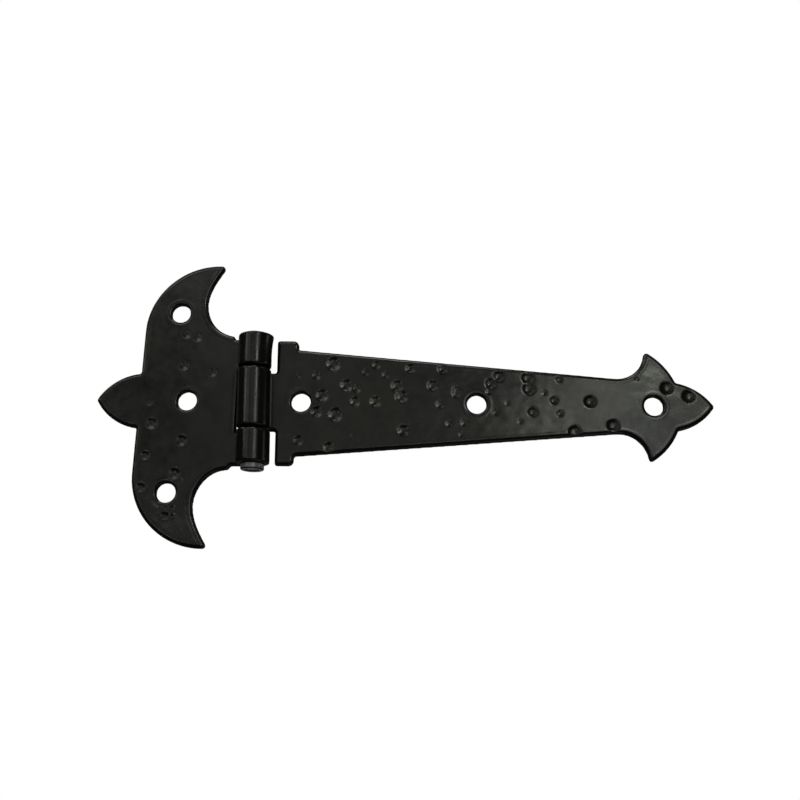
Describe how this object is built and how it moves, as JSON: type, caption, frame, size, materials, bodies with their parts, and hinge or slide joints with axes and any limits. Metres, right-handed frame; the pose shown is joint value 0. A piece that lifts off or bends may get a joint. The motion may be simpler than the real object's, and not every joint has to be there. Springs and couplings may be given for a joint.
{
  "type": "t hinge",
  "caption": "Black hammered T hinge: a short crescent-horned jamb leaf joined by a pin to a long tapered strap with an arrow finial.",
  "frame": {"origin": "on the mounting plane, directly under the middle of the hinge pin", "axes": "+X along the strap towards its finial, +Y along the pin, +Z out of the door face"},
  "size_m": [0.2038, 0.0972, 0.0109],
  "materials": {
    "black_powder_coat": "semi-gloss black powder coat over hammered steel",
    "black_pin": "black coat worn to bare metal round the rivet head"
  },
  "bodies": {
    "jamb": {"jamb_leaf": "black_powder_coat", "hinge_pin": "black_pin"},
    "strap": {"strap_leaf": "black_powder_coat"}
  },
  "joints": [
    {"name": "pin_hinge", "type": "hinge", "parent": "jamb", "child": "strap", "pos_m": [0, 0, 0.00543], "axis": [0, -1, 0], "range_deg": [-95, 185]}
  ]
}
